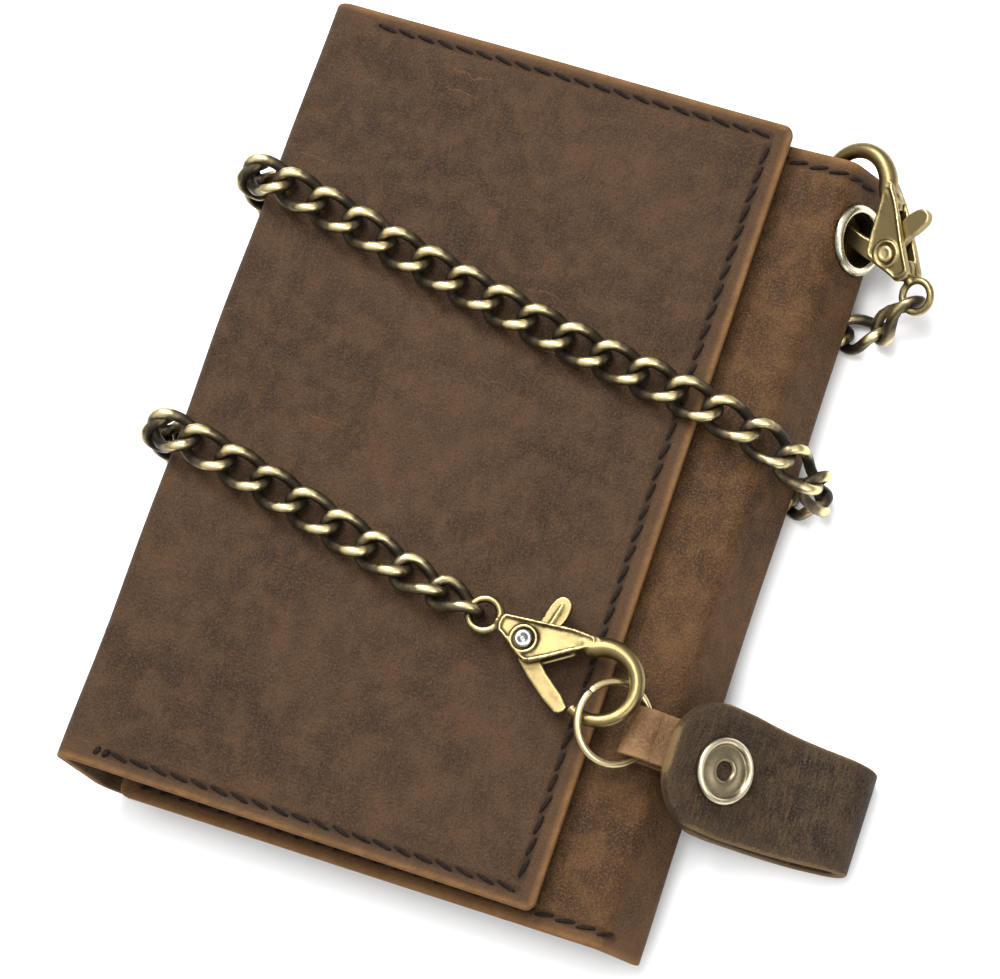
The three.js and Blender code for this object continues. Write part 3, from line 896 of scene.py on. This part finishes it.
def cover_front():
    """The upper half of the spine and the whole front flap, with its stitched border."""
    line = rounded([[SPINE_X, 14], [SPINE_X, 24.5], FLAP_END], [2.5])
    hide = Hide(line, 1, [(0, -0.5), (0.15, 0), (1, 0)], ripple=0.16)
    edge = HALF_LENGTH - SEAM_IN
    end = hide.length - 3.0
    seams = [[(17, edge), (end, edge)], [(end, edge - 1.6), (end, 1.6 - edge)], [(17, -edge), (end, -edge)]]
    piece = cut_sheet(
        "front_cover",
        hide,
        (0, hide.length),
        HALF_LENGTH,
        COVER_T,
        wallet_leather,
        "elh",
        seams=seams,
        bands=[(5, 13)],
    )
    thread = stitches("front_thread", hide, seams, dark_thread)
    knot = stitches("front_knot", hide, [[(14.6, -edge), (17.2, -edge)]], dark_thread, 1.2, 60, 0.42)
    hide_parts("spine_strip", "front_panel")
    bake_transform(piece)
    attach(thread, "front_flap")
    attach(knot, "front_flap")


def cover_fold():
    """The right fold with its sloping shoulder, and the inner panel that it carries."""
    line = rounded([[38, BACK_Z], [43.37, BACK_Z], [37.6, 13.6], [-36.7, 13.6]], [1.7, 3.0])
    hide = Hide(line, -1, [(0, -1.0), (0.06, -1.75), (0.2, -1.8), (1, -1.9)], ripple=0.10)
    edge = HALF_LENGTH - SEAM_IN
    seams = [
        [(8.5, edge), (hide.length - 3, edge)],
        [(hide.length - 3, edge - 1.6), (hide.length - 3, 1.6 - edge)],
        [(12.0, -edge), (hide.length - 3, -edge)],
    ]
    beside = EYELET[1] + 1.8
    piece = cut_sheet(
        "fold_cover",
        hide,
        (0, hide.length),
        HALF_LENGTH,
        FOLD_T,
        fold_leather,
        "elh",
        seams=seams,
        bands=[(2, 18)],
        across=[(beside - 6, beside + 6)],
    )
    pierce(piece, EYELET, EYELET_LEAN, HOLE_R)
    thread = stitches("fold_thread", hide, [seams[0], seams[2]], dark_thread)
    edge_thread = stitches("inner_edge_thread", hide, [seams[1]], dark_thread)
    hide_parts("right_fold", "inner_panel")
    for one in (piece, thread):
        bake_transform(one)
    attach(edge_thread, "inner_flap")


def pierce(piece, centre, lean, radius):
    """Cuts a round hole through one wall along an axis in X and Z that leans from +Z towards +X."""
    axis = Vector((math.sin(lean), 0, math.cos(lean)))
    middle = spot(*centre)

    def from_axis(place):
        reach = place - middle
        return reach - axis * reach.dot(axis), abs(reach.dot(axis))

    leather = bmesh.new()
    leather.from_mesh(piece.data)
    gone = []
    for face in leather.faces:
        away, along = from_axis(face.calc_center_median())
        if away.length < radius * MM and along < 4 * MM:
            gone.append(face)
    bmesh.ops.delete(leather, geom=gone, context="FACES")
    rim = [edge for edge in leather.edges if edge.is_boundary]
    for vertex in {vertex for edge in rim for vertex in edge.verts}:
        away, _ = from_axis(vertex.co)
        vertex.co += away * (radius * MM / away.length - 1)
    bmesh.ops.bridge_loops(leather, edges=rim)
    leather.to_mesh(piece.data)
    leather.free()


cover_back()
cover_front()
cover_fold()


# ---- Linings and card pockets ----


def extent(node, turn=0.0, about=(0.0, 0.0)):
    """The lowest and highest place of a CAD node in millimetres, in a frame leaned about Y."""
    points = np.array([v.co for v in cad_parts[node].data.vertices], float) / MM - SHIFT
    points -= [about[0], 0, about[1]]
    c, s = math.cos(turn), math.sin(turn)
    x, y, z = points.T
    flat = np.column_stack([x * c - z * s, y, x * s + z * c])
    return flat.min(0), flat.max(0)


def sewn_sheet(node, body, hide, half, thickness, rows):
    """A sheet of thin leather with its rows of stitches, in a CAD node's place."""
    length = hide.length
    sheet = cut_sheet(
        node + "_leather", hide, (0, length), half, thickness, pocket_leather, "selh", seams=rows
    )
    thread = stitches(node + "_thread", hide, rows, dark_thread, 2.6, 14, 0.2)
    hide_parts(node)
    for piece in (sheet, thread):
        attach(piece, body)


def flat_layer(node, body, face, turn=0.0, about=(0.0, 0.0), mouth="s"):
    """A lining or pocket sheet in its CAD node's place; its mouth is the side left unstitched."""
    low, high = extent(node, turn, about)
    c, s = math.cos(turn), math.sin(turn)
    level = high[2] if face > 0 else low[2]
    ends = [(about[0] + x * c + level * s, about[1] - x * s + level * c) for x in (low[0], high[0])]
    middle = (low[1] + high[1]) / 2
    half = (high[1] - low[1]) / 2
    hide = Hide(ends, face, [(0, middle), (1, middle)])
    span = hide.length
    inset = 1.8
    rows = [
        [(inset, half - inset), (span - inset, half - inset)],
        [(inset, inset - half), (span - inset, inset - half)],
    ]
    x = inset if mouth == "e" else span - inset
    rows.append([(x, half - inset), (x, inset - half)])
    sewn_sheet(node, body, hide, half, high[2] - low[2], rows)


def upright_layer(node, body):
    """The spine's lining, which faces into the wallet."""
    low, high = extent(node)
    middle = (low[1] + high[1]) / 2
    half = (high[1] - low[1]) / 2
    hide = Hide([(high[0], low[2]), (high[0], high[2])], -1, [(0, middle), (1, middle)])
    rows = [[(1.6, y), (hide.length - 1.6, y)] for y in (half - 1.6, 1.6 - half)]
    sewn_sheet(node, body, hide, half, high[0] - low[0], rows)


def inside():
    for node in ("centre_lining", "centre_pocket_1", "centre_pocket_2"):
        flat_layer(node, "wallet", 1)
    for node in ("inner_lining", "inner_pocket_1", "inner_pocket_2"):
        flat_layer(node, "inner_flap", -1)
    for node in ("flap_lining", "flap_pocket_1", "flap_pocket_2", "flap_pocket_3"):
        flat_layer(node, "front_flap", -1, FLAP_SLOPE, (SPINE_X, 24.5), "e")
    upright_layer("spine_lining", "spine")


inside()


# ---- Clasps ----

PIVOT = np.array([7.2, -1.36])
HOOK_CENTRE = np.array([19.4, -2.9])
HOOK_R = 5.2


def mounted(points, clasp):
    """Points of a clasp's own frame (X along it, Y to its lever) put in the wallet's."""
    eye, along, lever = clasp
    x = unit(along)
    z = unit(np.cross(x, lever))
    return np.asarray(points) @ np.array([x, np.cross(z, x), z]) + eye


def arc(centre, radius, start, end, count=40):
    turn = np.radians(np.linspace(start, end, count))
    return np.column_stack([centre[0] + radius * np.cos(turn), centre[1] + radius * np.sin(turn), 0 * turn])


def clasp_casting():
    """The cast body: an eye, a forked wedge with a raised border and a hook of round bar."""
    wedge = softened(
        [
            (2.6, 0.9),
            (4.1, 1.1),
            (16.8, 3.35),
            (17.6, 1.6),
            (15.9, 0.95),
            (9.7, -3.85),
            (8.0, -4.5),
            (3.9, -1.9),
            (2.6, -1.4),
        ],
        1,
        closed=True,
    )
    far = wedge[wedge[:, 0] > 12.3]
    thin = 2.05 - 0.85 * np.clip((wedge[:, 0] - 8.5) / 8.5, 0, 1)
    thin_far = 2.05 - 0.85 * np.clip((far[:, 0] - 8.5) / 8.5, 0, 1)
    middle = wedge.mean(0)
    border = np.column_stack([middle + (wedge - middle) * 0.9, thin + 0.02])
    mirror = border * [1, 1, -1]
    eye = sweep(arc((0, 0), 2.3, 0, 360, 49)[:-1], 0.58, 14, closed=True)
    hook = arc(HOOK_CENTRE, HOOK_R, 126, -118, 60)
    lead = np.array([[13.2, 1.0, 0], [14.9, 1.7, 0]])
    bar = np.vstack([lead, hook])
    thick = np.interp(np.linspace(0, 1, len(bar)), [0, 0.15, 0.5, 1], [1.45, 1.4, 1.12, 0.92])
    neck_line = [[1.9, -0.15, 0], [2.8, -0.2, 0], [4.2, -0.3, 0], [5.0, -0.4, 0]]
    neck = sweep(neck_line, [0.75, 0.85, 1.5, 1.6], 14)
    ring = arc(PIVOT, 1.85, 0, 360, 41)[:-1]
    boss = [sweep(ring + [0, 0, h], 0.28, 8, closed=True) for h in (2.05, -2.05)]
    return cast(
        [
            prism(wedge, 1.1, thin),
            prism(wedge, -thin, -1.1),
            prism(far, 0.08 - thin_far, thin_far - 0.08),
            prism([(3.0, 0.6), (4.7, 0.8), (4.7, -1.9), (3.0, -1.3)], -1.7, 1.7),
            eye,
            neck,
            sweep(bar, thick, 18),
            sweep(border, 0.24, 8, closed=True),
            sweep(mirror, 0.24, 8, closed=True),
            *boss,
        ]
    )


def clasp_gate():
    """The sprung gate with its thumb lever."""
    lever = [(6.3, -0.8), (8.1, 1.9), (8.3, 4.4), (8.9, 6.1), (10.0, 6.7)]
    lever += [(11.2, 6.0), (11.4, 4.2), (10.9, 2.2), (9.0, -1.6)]
    bar = [(5.9, -2.4), (7.9, -4.9), (14.7, -9.1), (16.05, -8.75), (16.6, -7.4)]
    bar += [(10.2, -3.4), (8.9, -0.9)]
    hub = lathe([(0.01, -0.9), (1.9, -0.9), (1.9, 0.4), (0.01, 0.4)], 40, 0)
    rib = through([[9.3, 1.0, 0.25], [9.7, 3.4, 0.3], [10.0, 5.4, 0.25]])
    return cast(
        [
            prism(softened(lever, 2, closed=True), -0.95, 0.45),
            prism(softened(bar, 1, closed=True), -1.05, 0.4),
            (hub[0] + [*PIVOT, 0], hub[1]),
            sweep(rib, np.linspace(0.45, 0.35, len(rib)), 12),
        ],
        0.14,
        2,
    )


def rivet_ends(dimple):
    """Both heads of the rivet, each in a turned recess."""
    head = [(0.01, 2.15 + dimple), (0.45, 2.15 + dimple), (0.8, 2.62), (1.15, 2.55)]
    head += [(1.32, 2.2), (1.32, 1.6), (0.01, 1.6)]
    points, faces = lathe(head, 40)
    other = points * [1, 1, -1], [face[::-1] for face in faces]
    points, faces = together([(points, faces), other])
    return points + [*PIVOT, 0], faces


def worn_by_height(points, axis, low, high):
    """How far points stand out along an axis, from 0 at low to 1 at high."""
    return np.clip((np.asarray(points) @ np.asarray(axis, float) - low) / (high - low), 0, 1)


def spring_coil():
    """Two turns of fine wire round the rivet, beside the gate."""
    turn = np.linspace(0, 4 * math.pi, 72)
    line = np.column_stack([1.3 * np.cos(turn), 1.3 * np.sin(turn), 0.74 + 0.02 * turn])
    return sweep(line + [*PIVOT, 0], 0.13, 8)


def on_clasp(name, clasp, shape, finish, worn, crease=50):
    """Mounts one shape of a clasp as a piece."""
    points, faces = shape
    return new_piece(name, mounted(points, clasp), faces, finish, {"worn": worn}, crease)


def clasps():
    body, gate, coil = clasp_casting(), clasp_gate(), spring_coil()
    for number, clasp in ((1, CLASP_1), (2, CLASP_2)):
        rides = f"clasp_{number}"
        heads = rivet_ends(0.35 if number == 1 else 0.1)
        worn = worn_by_height(np.abs(heads[0]), (0, 0, 1), 1.9, 2.6)
        head_finish = clasp_brass if number == 1 else rivet_steel
        head_slot = "clasp_brass" if number == 1 else "nickel"
        even = np.full(len(coil[0]), 0.6)
        for part, node, shape, finish, rub_and_highlight, crease, slot, rider in (
            ("cast_body", "body", body[:2], clasp_brass, body[2], 180, "clasp_brass", rides),
            ("cast_gate", "gate", gate[:2], clasp_brass, gate[2], 180, "clasp_brass", f"gate_{number}"),
            ("rivet_heads", "rivet", heads, head_finish, worn, 50, head_slot, rides),
            ("coil", "spring", coil, rivet_steel, even, 50, "nickel", rides),
        ):
            piece = on_clasp(f"{rides}_{part}", clasp, shape, finish, rub_and_highlight, crease)
            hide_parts(f"{rides}_{node}")
            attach(piece, rider)


clasps()


# ---- Eyelet and belt ring ----


def leaned(points, lean, centre):
    """Turned parts stood on an axis that leans from +Z towards +X."""
    c, s = math.cos(lean), math.sin(lean)
    return np.asarray(points) @ np.array([[c, 0, -s], [0, 1, 0], [s, 0, c]]) + centre


def eyelet():
    profile = [(3.7, -2.4), (4.15, -2.4), (4.15, 0.05), (5.2, 0.05)]
    profile += [(5.35, 0.35), (5.0, 0.95), (4.4, 1.1), (3.85, 0.75)]
    points, faces = lathe(profile, 72, 3, closed=True)
    worn = worn_by_height(points, (0, 0, 1), -0.4, 0.9)
    points = leaned(points, EYELET_LEAN, EYELET)
    piece = new_piece("eyelet_rim", points, faces, bright_nickel, {"worn": worn})
    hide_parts("eyelet")
    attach(piece, "wallet")


RING_R = 5.7
RING_SLOPE = math.radians(40)
RING_CENTRE = np.array([31.25, -32, 20])


def belt_ring():
    """A ring of round wire with a butted joint."""
    turn = np.radians(np.linspace(152, 152 + 358.6, 110))
    line = np.column_stack([RING_R * np.cos(turn), RING_R * np.sin(turn), 0 * turn])
    ends = np.minimum(1, 0.82 + 0.3 * np.minimum(np.arange(110), np.arange(110)[::-1]))
    points, faces = sweep(leaned(line, RING_SLOPE, RING_CENTRE), 0.56 * ends, 14)
    # The ring is made brighter on its upper side as a painted highlight and darker on its lower side as
    # painted shade; the 0.55 base is rubbed metal.
    worn = 0.55 + 0.4 * worn_by_height(points - RING_CENTRE, (0, 0, 1), -4, 4)
    piece = new_piece("ring_wire", points, faces, ring_brass, {"worn": worn})
    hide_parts("belt_ring")
    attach(piece, "ring")


eyelet()
belt_ring()


# ---- Belt strap ----

BEND_R = 3.5
STRAP_END = 61.5
SNAP_LOW = np.array([42.9, 12.3])
LAYER_SPACING = 5.2
SNAP_HIGH = SNAP_LOW + LAYER_SPACING * math.sqrt(0.5)
STRAP_HALF = 9.0
NOSE_R = 7.5


def face_line(middles, thickness, side):
    """The line of one face of a strap from its middle line."""
    middles = np.asarray(middles, float)
    ahead = np.gradient(middles, axis=0)
    ahead /= np.linalg.norm(ahead, axis=1)[:, None]
    return middles + side * thickness / 2 * np.column_stack([-ahead[:, 1], ahead[:, 0]])


def strap_lower():
    """The lower layer, from its round nose down the wallet's side and flat on the table."""
    slope = [(39.6, 15.4), (40.8, 14.4), (44.7, 10.5), (48.6, 6.6), (51.6, 3.8)]
    middle = through(slope + [(54.8, 1.75), (57.5, 1), (59, 1)])
    hide = Hide(face_line(middle, STRAP_T, 1), 1, [(0, STRAP_Y), (1, STRAP_Y)])
    hide.halves = ([0, 10, hide.length], [1.0, 1.0, 0.9])
    span = (0, hide.length)
    piece = cut_sheet(
        "strap_lower_layer", hide, span, STRAP_HALF, STRAP_T, strap_leather, "slh", corner=NOSE_R
    )
    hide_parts("belt_strap")
    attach(piece, "strap")


def strap_upper():
    """The bend and the upper layer, whose round nose carries the snap."""
    start = [(59, 1), (61, 1)]
    turn = np.linspace(-math.pi / 2, math.pi / 2, 22)
    bend = np.column_stack([STRAP_END + BEND_R * np.cos(turn), 1 + BEND_R + BEND_R * np.sin(turn)])
    tip = SNAP_HIGH + [-6.2, 6.2]
    top = through([(60.6, 8.05), (57.5, 8.4), (54, 9.6), (50.6, 12), tuple(SNAP_HIGH), tuple(tip)])
    line = face_line(np.vstack([start, bend, top]), STRAP_T, -1)
    hide = Hide(line, -1, [(0, STRAP_Y), (1, STRAP_Y)])
    hide.halves = ([0, 9, hide.length - 12, hide.length], [0.9, 0.83, 1.0, 1.0])
    piece = cut_sheet(
        "strap_upper_layer",
        hide,
        (0, hide.length),
        STRAP_HALF,
        STRAP_T,
        strap_leather,
        "elh",
        corner=NOSE_R,
        bands=[(0, 16)],
    )
    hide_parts("strap_top")
    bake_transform(piece)


def strap_tab():
    """A tab of soft suede that goes round the ring and between the two layers."""
    lean = np.array([-math.cos(RING_SLOPE), math.sin(RING_SLOPE)])
    low = RING_CENTRE[[0, 2]] - RING_R * lean
    up = np.array([lean[1], -lean[0]])
    path = [
        (45.2, 11.9),
        (42.4, 14.6),
        (39.4, 16.6),
        low + 1.75 * up,
        low + 1.0 * lean + 1.7 * up,
        low + 2.7 * lean,
        low + 1.0 * lean - 1.75 * up,
        low - 1.7 * up - 0.6 * lean,
        (38.0, 13.6),
        (40.0, 12.2),
        (43.0, 9.4),
    ]
    line = through([tuple(p) for p in path])
    hide = Hide(line, 1, [(0, STRAP_Y + 1.5), (1, STRAP_Y + 1.5)], ripple=0.06)
    span = (0, hide.length)
    piece = cut_sheet("strap_tab", hide, span, 3.6, 1.05, suede_tab, "selh", corner=0.8, bands=[span])
    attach(piece, "strap")


def on_snap(centre, shape):
    points, faces = shape
    return leaned(points, math.pi / 4, np.array([centre[0], STRAP_Y, centre[1]])), faces


def snap():
    """The press snap: a ringed cap with a hollow middle, its socket below and the stud that it grips."""
    cap = [(0.01, 0.2), (1.0, 0.25), (1.15, 1.0), (1.5, 1.5), (1.9, 1.55), (2.9, 1.35), (3.6, 1.3)]
    cap += [(3.75, 1.7), (4.1, 2.0), (4.5, 1.9), (4.75, 1.5), (4.7, 1.02), (4.2, 1.02), (0.01, 0.12)]
    nub = [(0.01, 0.1), (0.42, 0.1), (0.42, 0.75), (0.25, 0.95), (0.01, 1.0)]
    socket = [(0.01, -1.8), (2.1, -1.8), (2.3, -2.9), (3.6, -2.9), (4.05, -2.5)]
    socket += [(4.05, -1.35), (0.01, -1.35)]
    stud = [(0.01, 1.3), (4.0, 1.3), (4.05, 1.7), (3.6, 1.95), (1.7, 2.0), (1.5, 2.4)]
    stud += [(1.75, 2.8), (1.3, 3.0), (0.01, 3.0)]
    rows = (
        ("snap_cap_ring", cap, SNAP_HIGH, "strap_flap", "snap_cap", 0.9, 1.9),
        ("snap_cap_nub", nub, SNAP_HIGH, "strap_flap", None, 0.3, 1.0),
        ("snap_socket_turned", socket, SNAP_HIGH, "strap_flap", "snap_socket", -2.9, -1.5),
        ("snap_stud_turned", stud, SNAP_LOW, "strap", "snap_stud", 1.3, 3.0),
    )
    for name, profile, centre, body, node, low, high in rows:
        points, faces = lathe(profile, 64)
        worn = 0.9 * worn_by_height(points, (0, 0, 1), low, high) - 0.05
        points, faces = on_snap(centre, (points, faces))
        piece = new_piece(name, points, faces, snap_brass, {"worn": worn})
        if node:
            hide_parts(node)
        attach(piece, body)


strap_lower()
strap_upper()
strap_tab()
snap()


# ---- Floor and light ----


def stage():
    bpy.ops.mesh.primitive_plane_add(size=6, location=(0, 0, 0))
    floor = bpy.context.object
    floor.name = "floor"
    floor.data.materials.append(plain_floor("pale_floor", (0.86, 0.86, 0.86)))
    world = bpy.data.worlds.new("studio")
    bpy.context.scene.world = world
    world.use_nodes = True
    sky = Finish.of(world.node_tree)
    height = sky.node("ShaderNodeSeparateXYZ", None, {0: sky.node("ShaderNodeTexCoord")}, output=2)
    shade = sky.mix(sky.between(height, 0.12, 0.75), (0.16, 0.16, 0.17), (1.15, 1.15, 1.15))
    sky.tree.links.new(shade.socket, sky.tree.nodes["Background"].inputs["Color"])
    for name, place, power, size in (
        ("key_light", (-0.35, 0.45, 0.75), 10.0, 0.35),
        ("fill_light", (0.7, -0.3, 0.6), 3.0, 0.5),
        ("top_light", (0.0, 0.1, 1.1), 7.0, 0.4),
    ):
        lamp = bpy.data.objects.new(name, bpy.data.lights.new(name, "AREA"))
        lamp.data.energy = power
        lamp.data.size = size
        lamp.location = place
        lamp.rotation_mode = "QUATERNION"
        lamp.rotation_quaternion = (-Vector(place)).to_track_quat("-Z", "Y")
        bpy.context.collection.objects.link(lamp)


stage()
